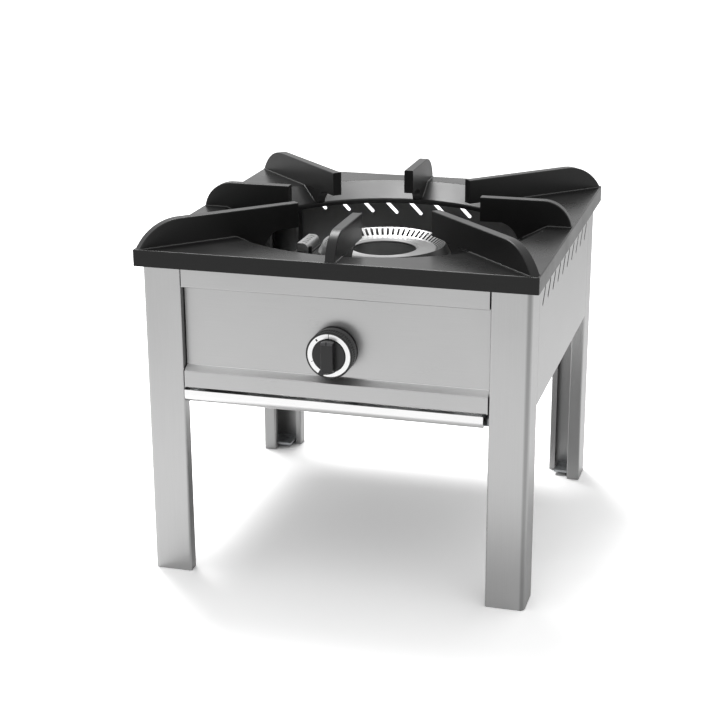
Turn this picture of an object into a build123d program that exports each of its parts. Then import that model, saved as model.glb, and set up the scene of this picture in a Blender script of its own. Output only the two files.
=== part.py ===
"""Floor-standing gas stock pot range: one ring burner under a ribbed hob, on a folded sheet stand."""

import math
import os

from build123d import *

os.makedirs("parts", exist_ok=True)

# ---- Stand: square in plan, origin on the floor under the burner, front towards -Y ----
body_half = 290.0
panel_sheet = 1.5
leg_sheet = 2.0
part_gap = 0.3  # between pieces that lift off, slide or turn

# ---- Hob top and its pot ribs ----
hob_overhang = 10.0
hob_half = body_half + hob_overhang
hob_sheet = 3.0
hob_z = 511.0
skirt_drop = 25.0
dish_margin = 40.0  # flat left between the dish and the hob's sides
dish_slope = 43.0
dish_outer_r = hob_half - dish_margin
dish_inner_r = dish_outer_r - dish_slope
dish_drop = 23.5
dish_collar = 7.0
hob_corner_r = 3.0
hob_edge_r = 2.0
rib_thick = 15.0
rib_height = 39.5
rib_tip_gap = 2.5
rib_tip_width = 25.5
rib_overhang = 34.0
rib_tip_r = dish_inner_r - rib_tip_gap
rib_clear_r = rib_tip_r - rib_tip_width  # the underside is level out to here
rib_inner_r = rib_clear_r - rib_overhang
rib_nose = 1.5  # rounding of the long top edges
rib_fit = 0.2  # play between the notch and the dish
rib_end_gap = 2.5
rib_corner_gap = 9.0
short_rib_curve_r = 46.0
long_rib_curve_r = 77.0

# ---- Legs ----
leg_flange = 59.0
leg_lip = 22.0
leg_return = 10.0
leg_corner_r = 8.0
leg_top_z = hob_z - hob_sheet - part_gap
fold_r = 3.0
foot_plate_z = 6.0
foot_plate_sheet = 4.0
foot_plate_side = 44.0

# ---- Panels ----
panel_seam = 0.3
panel_drop = 209.5  # the panels' lower edges, below the hob
panel_bottom_z = hob_z - panel_drop
panel_ear = 12.0
panel_hem = 18.0
slot_count = 10
slot_pitch = 43.5
slot_width = 6.0
slot_rise = 26.0
slot_drop = 54.5
slot_z = hob_z - slot_drop

# ---- Front rail and control panel ----
front_seam = 1.3
rail_depth = 55.0
rail_bottom_z = hob_z - rail_depth
panel_recess = 13.0
panel_overlap = 24.0  # behind the rail
panel_top_z = rail_bottom_z + panel_overlap
sill_height = 25.5
sill_slope = 7.5
sill_front_z = panel_bottom_z + sill_height
sill_step_z = sill_front_z + sill_slope

# ---- Knob and tap, on one axis through the control panel ----
knob_drop = 135.5
knob_z = hob_z - knob_drop
standout = 29.0  # of the grip beyond the front, and of the inlet beyond the back
reach = body_half + standout
bezel_r = 35.0
bezel_depth = 29.0
bezel_base = 3.0
bezel_edge = 1.0
knob_r = 24.2
knob_proud = 1.0
knob_disc = 11.0
knob_press = 3.5
knob_hub_r = 11.0
grip_width = 18.0
grip_half = 23.8
grip_chamfer = 1.5
spindle_r = 4.0
spindle_flat = 2.6
spindle_front = 27.0
spindle_back = 14.0
spindle_fit = 0.1
bonnet_r = 17.0
bonnet_depth = 5.5
bonnet_nose_r = 10.0
bonnet_nose = 2.0
tap_r = 15.0
tap_length = 48.0
plug_r = 9.0
plug_set_back = 3.0
plug_length = 35.0
plug_taper = 3.0
plug_fit = 0.05
plug_end_gap = 1.0
plug_key_depth = 10.0
magnet_r = 11.0
magnet_length = 25.0
inlet_boss_r = 9.0
inlet_boss_x = 26.0
outlet_boss_r = 8.0
outlet_boss_rise = 27.0
pilot_boss_r = 5.0
pilot_boss_x = 24.0
inlet_boss_back = 31.0  # behind the panel's front face
outlet_boss_back = 40.0

# ---- Burner ----
burner_drop = 87.0
burner_bottom_z = hob_z - burner_drop
burner_wall = 4.0
burner_hole_r = 50.5
burner_foot_r = 112.0
burner_belly_taper = 2.5
burner_belly_r = burner_foot_r - burner_belly_taper
burner_belly_rise = 16.0
burner_belly_z = burner_bottom_z + burner_belly_rise
burner_taper = 8.0
burner_seat_r = burner_foot_r - burner_taper
burner_height = 31.0
burner_seat_z = burner_bottom_z + burner_height
ring_rim_slope = 7.0
ring_rim_r = burner_seat_r - ring_rim_slope
ring_rim_rise = 13.0
ring_rim_z = burner_seat_z + ring_rim_rise
ring_tooth_width = 17.0
ring_valley_r = ring_rim_r - ring_tooth_width
ring_valley_rise = 2.0
ring_valley_z = burner_seat_z + ring_valley_rise
ring_hole_rise = 5.0
ring_hole_z = burner_seat_z + ring_hole_rise
ring_hole_round = 3.0
ring_plate = 4.5
ring_rim_wall = 5.0
tooth_count = 64
tooth_slot_width = 4.2
tooth_slot_margin = 2.0
tooth_slot_inner_r = ring_valley_r + tooth_slot_margin
tooth_slot_outer_r = ring_rim_r - tooth_slot_margin
locating_rim = 3.0
locating_drop = 4.3
mixer_rise = 10.0
mixer_z = burner_bottom_z + mixer_rise
mixer_r = 18.0
mixer_wall = 3.0
mixer_inner_y = -70.0
mixer_bell = 15.0
mixer_mouth_gap = 19.0
mixer_mouth_r = 26.0
mixer_end_wall = 12.0

# ---- Injector ----
injector_side = 18.0
injector_block = 25.0
injector_front_gap = 10.0  # from the outlet's middle to the block's front
nozzle_r = 5.0
nozzle_length = 13.0
shutter_r = 20.0
shutter_sheet = 3.0
shutter_gap = 4.0

# ---- Burner bars ----
bar_y = 45.0
bar_flange = 22.0
bar_web = 20.0
bar_sheet = 2.0

# ---- Pilot, left of the burner ----
pilot_gap = 15.5
pilot_x = -burner_foot_r - pilot_gap
pilot_width = 17.5
pilot_front_y = -26.0
pilot_length = 62.0
pilot_rise = 26.0
pilot_bottom_z = burner_bottom_z + pilot_rise
pilot_height = 13.5
pilot_round = 9.0
pilot_slot_count = 5
pilot_slot_pitch = 10.0
pilot_slot = (3.0, 8.0, 2.5)
pilot_pipe_r = 3.0
pilot_pipe_bend = 20.0
pilot_pipe_y = 10.0
bracket_sheet = 2.0
bracket_side = 13.5  # from the pilot's middle
bracket_outer_x = pilot_x - bracket_side
bracket_gap = 1.0
bracket_inner_x = -burner_foot_r - bracket_gap
bracket_rise_y = -32.0
probe_side = 20.0
probe_x = pilot_x + probe_side
probe_y = -49.0
probe_r = 3.0
probe_edge = 1.0
probe_height = 40.0
probe_tab_edge = 4.0  # from the probe's middle
lead_r = 1.25
lead_bend = 10.0
lead_rise = 12.0
lead_z = burner_bottom_z + lead_rise
lead_drop_y = -130.0
lead_run = 30.0  # straight into the back of the magnet

# ---- Gas pipe and inlet ----
gas_pipe_r = 7.5
gas_pipe_wall = 1.2
gas_pipe_inset = 31.0  # from the leg's edge
gas_pipe_bend = 35.0
pipe_nut_r = 13.0
pipe_nut = 12.0
inlet_thread_r = 20.955 / 2  # G 1/2 outside
inlet_nut_r = 16.0
inlet_nut = 8.0
inlet_bore_r = 6.0
inlet_socket = 10.0  # beyond the back panel
inlet_hole_gap = 0.5

# ---- Drip tray and its runners ----
tray_sheet = 1.5
tray_play = 8.0  # side to side, all of it on the right
tray_gap = 4.0
tray_front_height = 20.5
tray_front_r = 12.0
tray_floor_rise = 7.0  # the front hangs below the floor and hides the runners
tray_back_r = 6.0
tray_back_gap = 22.0
tray_side_inset = 3.0
runner_rise = 12.0
runner_ledge = 27.0
runner_gap = 4.0

# Lines that several pieces share
lip_x = body_half - leg_flange
panel_half = lip_x - panel_seam
front_half = lip_x - front_seam
return_depth = leg_lip
front_y = -body_half
panel_y = front_y + panel_recess
behind_lip_y = front_y + return_depth
inlet_y = panel_y + inlet_boss_back
outlet_y = panel_y + outlet_boss_back
injector_front_y = outlet_y - injector_front_gap
mixer_mouth_y = injector_front_y + injector_block + mixer_mouth_gap
mixer_bell_y = mixer_mouth_y + mixer_bell
gas_pipe_x = lip_x - gas_pipe_inset
inlet_socket_y = body_half + inlet_socket
knob_front = Plane(origin=(0, panel_y, knob_z), x_dir=(1, 0, 0), z_dir=(0, -1, 0))
knob_behind = Plane(origin=(0, panel_y, knob_z), x_dir=(-1, 0, 0), z_dir=(0, 1, 0))


def save(piece, label):
    piece.label = label
    export_step(piece, f"parts/{label}.step")


def keyed_round(radius, flat):
    """A circle with one flat, in the open sketch."""
    Circle(radius)
    with Locations((0, flat + radius)):
        Rectangle(2 * radius, 2 * radius, mode=Mode.SUBTRACT)


# ---- Hob top: flat plate, skirt, and the dish pressed into it ----
with BuildPart() as hob_top:
    with BuildSketch(Plane.XY.offset(hob_z - skirt_drop)):
        Rectangle(2 * hob_half, 2 * hob_half)
    extrude(amount=skirt_drop)
    fillet(hob_top.edges().filter_by(Axis.Z), radius=hob_corner_r)
    fillet(hob_top.faces().sort_by(Axis.Z)[-1].edges(), radius=hob_edge_r)
    with BuildSketch(Plane.XY.offset(hob_z - skirt_drop)):
        Rectangle(2 * (hob_half - hob_sheet), 2 * (hob_half - hob_sheet))
    extrude(amount=skirt_drop - hob_sheet, mode=Mode.SUBTRACT)
    with BuildSketch(Plane.XY.offset(hob_z - skirt_drop)):
        Circle(dish_outer_r + hob_sheet)
    extrude(amount=skirt_drop, mode=Mode.SUBTRACT)
    with BuildSketch(Plane.XZ):
        with BuildLine():
            FilletPolyline(
                (dish_outer_r + 2 * hob_sheet, hob_z),
                (dish_outer_r, hob_z),
                (dish_inner_r, hob_z - dish_drop),
                (dish_inner_r, hob_z - dish_drop - dish_collar),
                radius=hob_sheet + 1,
            )
            offset(amount=hob_sheet, side=Side.LEFT)
        make_face()
    revolve(axis=Axis.Z)
save(hob_top.part, "hob_top")


# ---- Pot ribs: upright plates set radially, notched to sit on the flat and in the dish ----
def pot_rib(label, turn, outer_r, curve_r):
    heading = math.radians(turn)
    upright = Plane(
        origin=(0, 0, hob_z),
        x_dir=(math.cos(heading), math.sin(heading), 0),
        z_dir=(math.sin(heading), -math.cos(heading), 0),
    )
    sweep_angle = math.acos((curve_r - rib_height) / curve_r)
    centre_z = rib_height - curve_r
    curve_start_r = outer_r - curve_r * math.sin(sweep_angle)
    middle = (
        curve_start_r + curve_r * math.sin(sweep_angle / 2),
        centre_z + curve_r * math.cos(sweep_angle / 2),
    )
    tip_z = -dish_drop + 1
    with BuildPart() as rib:
        with BuildSketch(upright):
            with BuildLine():
                Line((rib_inner_r, rib_height), (curve_start_r, rib_height))
                ThreePointArc((curve_start_r, rib_height), middle, (outer_r, 0))
                Polyline(
                    (outer_r, 0),
                    (dish_outer_r - rib_fit, 0),
                    (dish_inner_r - rib_fit, -dish_drop),
                    (rib_tip_r, tip_z),
                )
                ThreePointArc(
                    (rib_tip_r, tip_z),
                    (rib_tip_r - (rib_tip_r - rib_clear_r) / 4, tip_z + dish_drop / 2),
                    (rib_clear_r, rib_nose),
                )
                Polyline(
                    (rib_clear_r, rib_nose),
                    (rib_inner_r, rib_nose),
                    (rib_inner_r, rib_height),
                )
            make_face()
        extrude(amount=rib_thick / 2, both=True)
        long_top_edges = rib.edges().filter_by(
            lambda edge: edge.length > 2 * rib_thick
            and edge.center().Z > hob_z + 0.6 * rib_height
        )
        fillet(long_top_edges, radius=rib_nose)
    save(rib.part, label)


rib_sides = (
    "right", "back_right", "back", "back_left", "left", "front_left", "front", "front_right"
)
for rib_number, rib_side in enumerate(rib_sides):
    rib_turn = 360 * rib_number / len(rib_sides)
    if rib_number % 2:
        rib_outer_r = math.sqrt(2) * hob_half - rib_corner_gap
        pot_rib(f"rib_{rib_side}", rib_turn, rib_outer_r, long_rib_curve_r)
    else:
        pot_rib(f"rib_{rib_side}", rib_turn, hob_half - rib_end_gap, short_rib_curve_r)


# ---- Legs: one folded section, turned to each corner, with a plate closing the foot ----
def corner_leg(corner, turn):
    outline = [
        (leg_flange - leg_return, leg_lip),
        (leg_flange, leg_lip),
        (leg_flange, 0),
        (0, 0),
        (0, leg_flange),
        (leg_lip, leg_flange),
        (leg_lip, leg_flange - leg_return),
    ]
    here = Plane.XY.rotated((0, 0, turn))
    with BuildPart() as leg:
        with BuildSketch(here):
            with BuildLine():
                FilletPolyline(
                    *[(x - body_half, y - body_half) for x, y in outline],
                    radius=[fold_r, fold_r, leg_corner_r, fold_r, fold_r],
                )
                offset(amount=leg_sheet, side=Side.RIGHT)
            make_face()
        extrude(amount=leg_top_z)
    save(leg.part, f"leg_{corner}")

    plate_middle = leg_sheet + foot_plate_side / 2 - body_half
    with BuildPart() as foot_plate:
        with BuildSketch(here.offset(foot_plate_z)):
            with Locations((plate_middle, plate_middle)):
                plate_outline = Rectangle(foot_plate_side, foot_plate_side)
            outer_corner = plate_outline.vertices().sort_by_distance((-body_half, -body_half))[0]
            fillet(outer_corner, radius=leg_corner_r - leg_sheet)
        extrude(amount=foot_plate_sheet)
    save(foot_plate.part, f"foot_plate_{corner}")


corner_leg("front_left", 0)
corner_leg("front_right", 90)
corner_leg("back_right", 180)
corner_leg("back_left", 270)


# ---- Vented panels: pans that fit between the leg lips, with a row of slanted slots ----
def vented_panel(label, outward_x, outward_y, inlet_hole=False):
    middle = (outward_x * body_half, outward_y * body_half)
    along = (-outward_y, outward_x, 0)
    plan = Plane(origin=(*middle, panel_bottom_z), x_dir=along, z_dir=(0, 0, 1))
    face = Plane(origin=(*middle, 0), x_dir=along, z_dir=(outward_x, outward_y, 0))
    slot_length = (slot_rise - slot_width) / math.sin(math.radians(45)) + slot_width
    height = leg_top_z - panel_bottom_z
    ear_end = panel_half + panel_ear
    with BuildPart() as panel:
        with BuildSketch(plan):
            with BuildLine():
                FilletPolyline(
                    (-ear_end, return_depth),
                    (-panel_half, return_depth),
                    (-panel_half, 0),
                    (panel_half, 0),
                    (panel_half, return_depth),
                    (ear_end, return_depth),
                    radius=panel_sheet + 0.5,
                )
                offset(amount=panel_sheet, side=Side.LEFT)
            make_face()
        extrude(amount=height)
        for level in (0, height - panel_sheet):
            with BuildSketch(plan.offset(level)):
                with Locations((0, panel_sheet / 2 + panel_hem / 2)):
                    Rectangle(2 * panel_half - panel_sheet, panel_hem)
            extrude(amount=panel_sheet)
        with BuildSketch(face):
            with Locations((0, slot_z)):
                with GridLocations(slot_pitch, 1, slot_count, 1):
                    SlotOverall(slot_length, slot_width, rotation=45)
        extrude(amount=-2 * panel_sheet, mode=Mode.SUBTRACT)
        if inlet_hole:
            with BuildSketch(face):
                with Locations((-gas_pipe_x, knob_z)):
                    Circle(inlet_thread_r + inlet_hole_gap)
            extrude(amount=-2 * panel_sheet, mode=Mode.SUBTRACT)
    save(panel.part, label)


vented_panel("side_panel_right", 1, 0)
vented_panel("side_panel_left", -1, 0)
vented_panel("back_panel", 0, 1, inlet_hole=True)

# ---- Front rail: channel under the hob's front edge, eared behind the leg lips ----
with BuildPart() as front_rail:
    with BuildSketch(Plane.YZ):
        with BuildLine():
            FilletPolyline(
                (behind_lip_y, leg_top_z),
                (front_y, leg_top_z),
                (front_y, rail_bottom_z),
                (panel_y, rail_bottom_z),
                radius=panel_sheet + 0.5,
            )
            offset(amount=panel_sheet, side=Side.LEFT)
        make_face()
    extrude(amount=front_half, both=True)
    with BuildSketch(Plane.XY.offset(rail_bottom_z)):
        with BuildLine():
            FilletPolyline(
                (front_half + panel_ear, behind_lip_y),
                (front_half, behind_lip_y),
                (front_half, front_y + panel_sheet / 2),
                radius=panel_sheet + 0.5,
            )
            offset(amount=panel_sheet, side=Side.RIGHT)
        make_face()
    extrude(amount=leg_top_z - rail_bottom_z)
    mirror(about=Plane.YZ)
save(front_rail.part, "front_rail")

# ---- Control panel: set back behind the rail, stepping forward to a sill ----
panel_ear_top_z = rail_bottom_z - 2
with BuildPart() as control_panel:
    with BuildSketch(Plane.YZ):
        with BuildLine():
            FilletPolyline(
                (panel_y, panel_top_z),
                (panel_y, sill_step_z),
                (front_y, sill_front_z),
                (front_y, panel_bottom_z),
                (behind_lip_y, panel_bottom_z),
                radius=panel_sheet + 0.5,
            )
            offset(amount=panel_sheet, side=Side.LEFT)
        make_face()
    extrude(amount=front_half - panel_sheet, both=True)
    with BuildSketch(Plane.YZ.offset(front_half - panel_sheet)):
        with BuildLine():
            Polyline(
                (panel_y, panel_ear_top_z),
                (panel_y, sill_step_z),
                (front_y, sill_front_z),
                (front_y, panel_bottom_z),
                (behind_lip_y + panel_sheet, panel_bottom_z),
                (behind_lip_y + panel_sheet, panel_ear_top_z),
                close=True,
            )
        make_face()
    extrude(amount=panel_sheet)
    with BuildSketch(Plane.XY.offset(panel_bottom_z)):
        with Locations((front_half, behind_lip_y)):
            Rectangle(panel_ear, panel_sheet, align=(Align.MIN, Align.MIN))
    extrude(amount=panel_ear_top_z - panel_bottom_z)
    mirror(about=Plane.YZ)
    with BuildSketch(knob_front):
        Circle(bonnet_nose_r + inlet_hole_gap)
    extrude(amount=-2 * panel_sheet, mode=Mode.SUBTRACT)
save(control_panel.part, "control_panel")

# ---- Knob: disc and bar grip in a deep bezel, keyed to the spindle ----
knob_face = bezel_depth + knob_proud
grip_front = reach + panel_y
hub_back = bezel_base + knob_press + 0.5
with BuildPart() as knob_bezel:
    with BuildSketch(knob_front):
        Circle(bezel_r)
        Circle(bonnet_nose_r + inlet_hole_gap, mode=Mode.SUBTRACT)
    extrude(amount=bezel_base)
    with BuildSketch(knob_front.offset(bezel_base)):
        Circle(bezel_r)
        Circle(knob_r + part_gap + spindle_fit, mode=Mode.SUBTRACT)
    extrude(amount=bezel_depth - bezel_base)
    front_edges = knob_bezel.faces().sort_by(Axis.Y)[0].edges().sort_by(SortBy.RADIUS)
    chamfer(front_edges[-1], length=bezel_edge)
save(knob_bezel.part, "knob_bezel")

with BuildPart() as knob:
    with BuildSketch(knob_front.offset(knob_face - knob_disc)):
        Circle(knob_r)
    extrude(amount=knob_disc)
    with BuildSketch(knob_front.offset(hub_back)):
        Circle(knob_hub_r)
    extrude(amount=knob_face - knob_disc - hub_back)
    with BuildSketch(knob_front.offset(knob_face)):
        Circle(grip_half)
        Rectangle(grip_width, 2 * bezel_r, mode=Mode.INTERSECT)
    extrude(amount=grip_front - knob_face)
    chamfer(knob.faces().sort_by(Axis.Y)[0].edges(), length=grip_chamfer)
    with BuildSketch(knob_front.offset(hub_back)):
        keyed_round(spindle_r, spindle_flat)
    extrude(amount=spindle_front - hub_back, mode=Mode.SUBTRACT)
save(knob.part, "knob")

with BuildPart() as spindle:
    with BuildSketch(knob_front.offset(-spindle_back)):
        keyed_round(spindle_r, spindle_flat)
    extrude(amount=spindle_front + spindle_back)
save(spindle.part, "spindle")

# ---- Gas tap: tapered plug in a body hung behind the panel by its bonnet ----
bonnet_back = panel_sheet + bonnet_depth
tap_back = bonnet_back + tap_length
plug_start = bonnet_back + plug_set_back
with BuildPart() as tap_bonnet:
    with BuildSketch(knob_behind.offset(panel_sheet)):
        Circle(bonnet_r)
    extrude(amount=bonnet_depth)
    with BuildSketch(knob_front.offset(-panel_sheet)):
        Circle(bonnet_nose_r)
    extrude(amount=panel_sheet + bonnet_nose)
    with BuildSketch(knob_behind.offset(-bonnet_nose)):
        Circle(spindle_r + spindle_fit)
    extrude(amount=bonnet_nose + bonnet_back, mode=Mode.SUBTRACT)
save(tap_bonnet.part, "tap_bonnet")

with BuildPart() as tap_body:
    with BuildSketch(knob_behind.offset(bonnet_back)):
        Circle(tap_r)
    extrude(amount=tap_length)
    with BuildSketch(Plane(origin=(0, inlet_y, knob_z), z_dir=(1, 0, 0))):
        Circle(inlet_boss_r)
    extrude(amount=inlet_boss_x)
    with BuildSketch(Plane(origin=(0, inlet_y, knob_z), z_dir=(-1, 0, 0))):
        Circle(pilot_boss_r)
    extrude(amount=pilot_boss_x)
    with BuildSketch(Plane(origin=(0, outlet_y, knob_z), z_dir=(0, 0, 1))):
        Circle(outlet_boss_r)
    extrude(amount=outlet_boss_rise)
    with BuildSketch(knob_behind.offset(bonnet_back)):
        Circle(plug_r + 1)
    extrude(amount=plug_set_back, mode=Mode.SUBTRACT)
    with BuildSketch(knob_behind.offset(plug_start)):
        Circle(plug_r + plug_fit)
    extrude(amount=plug_length + plug_end_gap, taper=plug_taper, mode=Mode.SUBTRACT)
save(tap_body.part, "tap_body")

with BuildPart() as tap_plug:
    with BuildSketch(knob_behind.offset(plug_start)):
        Circle(plug_r)
    extrude(amount=plug_length, taper=plug_taper)
    with BuildSketch(knob_front.offset(-plug_start - plug_key_depth)):
        keyed_round(spindle_r + spindle_fit, spindle_flat + spindle_fit)
    extrude(amount=plug_key_depth, mode=Mode.SUBTRACT)
save(tap_plug.part, "tap_plug")

with BuildPart() as magnet_unit:
    with BuildSketch(knob_behind.offset(tap_back)):
        Circle(magnet_r)
    extrude(amount=magnet_length)
save(magnet_unit.part, "magnet_unit")

# ---- Injector, its air shutter, and the pipe up from the tap ----
injector_bottom_z = mixer_z - injector_side / 2
with BuildPart() as outlet_pipe:
    with BuildSketch(Plane.XY.offset(knob_z + outlet_boss_rise)):
        with Locations((0, outlet_y)):
            Circle(nozzle_r)
    extrude(amount=injector_bottom_z - knob_z - outlet_boss_rise)
save(outlet_pipe.part, "outlet_pipe")

injector_front = Plane(origin=(0, injector_front_y, mixer_z), x_dir=(-1, 0, 0), z_dir=(0, 1, 0))
with BuildPart() as injector:
    with BuildSketch(injector_front):
        Rectangle(injector_side, injector_side)
    extrude(amount=injector_block)
    with BuildSketch(injector_front.offset(injector_block)):
        Circle(nozzle_r)
    extrude(amount=nozzle_length)
save(injector.part, "injector")

with BuildPart() as air_shutter:
    with BuildSketch(injector_front.offset(injector_block + shutter_gap)):
        Circle(shutter_r)
        Circle(nozzle_r, mode=Mode.SUBTRACT)
    extrude(amount=shutter_sheet)
save(air_shutter.part, "air_shutter")

# ---- Burner body: ring-shaped trough, fed by a mixing tube from the front ----
with BuildPart() as burner_body:
    with BuildSketch(Plane.XZ):
        with BuildLine():
            Polyline(
                (burner_hole_r, burner_bottom_z),
                (burner_foot_r, burner_bottom_z),
                (burner_belly_r, burner_belly_z),
                (burner_seat_r, burner_seat_z),
                (burner_hole_r, burner_seat_z),
                close=True,
            )
        make_face()
    revolve(axis=Axis.Z)
    with BuildSketch(Plane.YZ):
        with BuildLine():
            Polyline(
                (mixer_inner_y, mixer_z),
                (mixer_inner_y, mixer_z + mixer_r),
                (mixer_bell_y, mixer_z + mixer_r),
                (mixer_mouth_y, mixer_z + mixer_mouth_r),
                (mixer_mouth_y, mixer_z),
                close=True,
            )
        make_face()
    revolve(axis=Axis((0, 0, mixer_z), (0, 1, 0)))
    with BuildSketch(Plane.XZ):
        with BuildLine():
            Polyline(
                (burner_hole_r + burner_wall, burner_bottom_z + burner_wall),
                (burner_foot_r - burner_wall, burner_bottom_z + burner_wall),
                (burner_belly_r - burner_wall, burner_belly_z),
                (burner_seat_r - burner_wall, burner_seat_z),
                (burner_hole_r + burner_wall, burner_seat_z),
                close=True,
            )
        make_face()
    revolve(axis=Axis.Z, mode=Mode.SUBTRACT)
    with BuildSketch(Plane.XY.offset(burner_seat_z - 2 * part_gap)):
        Circle(burner_hole_r + burner_wall)
    extrude(amount=2 * part_gap, mode=Mode.SUBTRACT)
    with BuildSketch(Plane.YZ):
        with BuildLine():
            Polyline(
                (mixer_inner_y - mixer_end_wall, mixer_z),
                (mixer_inner_y - mixer_end_wall, mixer_z + mixer_r - mixer_wall),
                (mixer_bell_y, mixer_z + mixer_r - mixer_wall),
                (mixer_mouth_y, mixer_z + mixer_mouth_r - mixer_wall),
                (mixer_mouth_y, mixer_z),
                close=True,
            )
        make_face()
    revolve(axis=Axis((0, 0, mixer_z), (0, 1, 0)), mode=Mode.SUBTRACT)
save(burner_body.part, "burner_body")

# ---- Burner ring: loose toothed ring whose flames point in and up ----
ring_seat_z = burner_seat_z + part_gap
ring_seat_inner_r = burner_seat_r - ring_rim_wall
with BuildPart() as burner_ring:
    with BuildSketch(Plane.XZ):
        with BuildLine():
            Polyline(
                (ring_rim_r, ring_rim_z),
                (ring_valley_r, ring_valley_z),
                (burner_hole_r + ring_hole_round, ring_hole_z),
                (burner_hole_r, ring_hole_z - ring_hole_round),
                (burner_hole_r, ring_seat_z),
                (ring_valley_r, ring_valley_z - ring_plate),
                (ring_seat_inner_r - locating_rim, ring_seat_z - locating_drop),
                (ring_seat_inner_r, ring_seat_z - locating_drop),
                (ring_seat_inner_r, ring_seat_z),
                (burner_seat_r, ring_seat_z),
                close=True,
            )
        make_face()
    revolve(axis=Axis.Z)
    with BuildSketch(Plane.XY.offset(ring_seat_z - locating_drop)):
        with PolarLocations(0, tooth_count):
            with Locations((tooth_slot_inner_r, 0)):
                Rectangle(
                    tooth_slot_outer_r - tooth_slot_inner_r,
                    tooth_slot_width,
                    align=(Align.MIN, Align.CENTER),
                )
    extrude(amount=ring_rim_z - ring_seat_z + locating_drop, mode=Mode.SUBTRACT)
save(burner_ring.part, "burner_ring")


# ---- Burner bars: angles from side to side ----
def burner_bar(label, side):
    inner_half = body_half - panel_sheet
    with BuildPart() as bar:
        with BuildSketch(Plane.YZ):
            with BuildLine():
                FilletPolyline(
                    (side * (bar_y + bar_flange / 2), burner_bottom_z),
                    (side * (bar_y - bar_flange / 2), burner_bottom_z),
                    (side * (bar_y - bar_flange / 2), burner_bottom_z - bar_web),
                    radius=bar_sheet + 0.5,
                )
                offset(amount=bar_sheet, side=Side.LEFT if side > 0 else Side.RIGHT)
            make_face()
        extrude(amount=inner_half, both=True)
        with BuildSketch(Plane.YZ.offset(inner_half - bar_sheet)):
            with Locations((side * bar_y, burner_bottom_z)):
                Rectangle(bar_flange, bar_web, align=(Align.CENTER, Align.MAX))
        extrude(amount=bar_sheet)
        mirror(about=Plane.YZ)
    save(bar.part, label)


burner_bar("burner_bar_front", -1)
burner_bar("burner_bar_back", 1)

# ---- Pilot burner and flame probe, on a bracket that stands on the front bar ----
bracket_foot_y = -bar_y - bar_flange / 2
bracket_back_y = pilot_front_y + pilot_length
bracket_top_z = pilot_bottom_z
with BuildPart() as pilot_bracket:
    with BuildSketch(Plane.YZ.offset(bracket_outer_x)):
        with BuildLine():
            FilletPolyline(
                (bracket_foot_y, burner_bottom_z + bracket_sheet),
                (bracket_rise_y, burner_bottom_z + bracket_sheet),
                (bracket_rise_y, bracket_top_z),
                (bracket_back_y, bracket_top_z),
                radius=bracket_sheet + 0.5,
            )
            offset(amount=bracket_sheet, side=Side.RIGHT)
        make_face()
    extrude(amount=bracket_inner_x - bracket_outer_x)
    with BuildSketch(Plane.XY.offset(burner_bottom_z)):
        with Locations((bracket_inner_x, bracket_foot_y)):
            Rectangle(
                probe_x + probe_tab_edge - bracket_inner_x,
                probe_y + probe_tab_edge - bracket_foot_y,
                align=(Align.MIN, Align.MIN),
            )
    extrude(amount=bracket_sheet)
    with BuildSketch(Plane.XY.offset(bracket_top_z - bracket_sheet)):
        with Locations((pilot_x, pilot_pipe_y)):
            Circle(pilot_pipe_r)
    extrude(amount=bracket_sheet, mode=Mode.SUBTRACT)
save(pilot_bracket.part, "pilot_bracket")

pilot_end = Plane(origin=(pilot_x, pilot_front_y, pilot_bottom_z), x_dir=(1, 0, 0), z_dir=(0, -1, 0))
with BuildPart() as pilot_burner:
    with BuildSketch(pilot_end):
        section = Rectangle(pilot_width, pilot_height, align=(Align.CENTER, Align.MIN))
        fillet(section.vertices().group_by(Axis.Z)[-1].sort_by(Axis.X)[-1], radius=pilot_round)
    extrude(amount=-pilot_length)
    slot_length, slot_depth, slot_side = pilot_slot[1], pilot_slot[0], pilot_slot[2]
    with BuildSketch(Plane.XY.offset(pilot_bottom_z + pilot_height - slot_depth)):
        with Locations((pilot_x, pilot_front_y + pilot_length / 2)):
            with GridLocations(1, pilot_slot_pitch, 1, pilot_slot_count):
                Rectangle(slot_length, slot_side)
    extrude(amount=slot_depth, mode=Mode.SUBTRACT)
save(pilot_burner.part, "pilot_burner")

with BuildPart() as pilot_pipe:
    with BuildLine() as pilot_path:
        FilletPolyline(
            (-pilot_boss_x, inlet_y, knob_z),
            (pilot_x, inlet_y, knob_z),
            (pilot_x, pilot_pipe_y, knob_z),
            (pilot_x, pilot_pipe_y, pilot_bottom_z),
            radius=pilot_pipe_bend,
        )
    with BuildSketch(Plane(origin=pilot_path.line @ 0, z_dir=pilot_path.line % 0)):
        Circle(pilot_pipe_r)
    sweep(path=pilot_path.line)
save(pilot_pipe.part, "pilot_pipe")

probe_bottom_z = burner_bottom_z + bracket_sheet
with BuildPart() as thermocouple:
    with BuildSketch(Plane.XY.offset(probe_bottom_z)):
        with Locations((probe_x, probe_y)):
            Circle(probe_r)
    extrude(amount=probe_height)
    chamfer(thermocouple.edges().group_by(Axis.Z)[-1], length=probe_edge)
save(thermocouple.part, "thermocouple")

magnet_back_y = panel_y + tap_back + magnet_length
with BuildPart() as thermocouple_lead:
    with BuildLine() as lead_path:
        FilletPolyline(
            (probe_x, probe_y - probe_r, lead_z),
            (probe_x, lead_drop_y, lead_z),
            (0, magnet_back_y + lead_run, knob_z),
            (0, magnet_back_y, knob_z),
            radius=lead_bend,
        )
    with BuildSketch(Plane(origin=lead_path.line @ 0, z_dir=lead_path.line % 0)):
        Circle(lead_r)
    sweep(path=lead_path.line)
save(thermocouple_lead.part, "thermocouple_lead")

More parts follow.
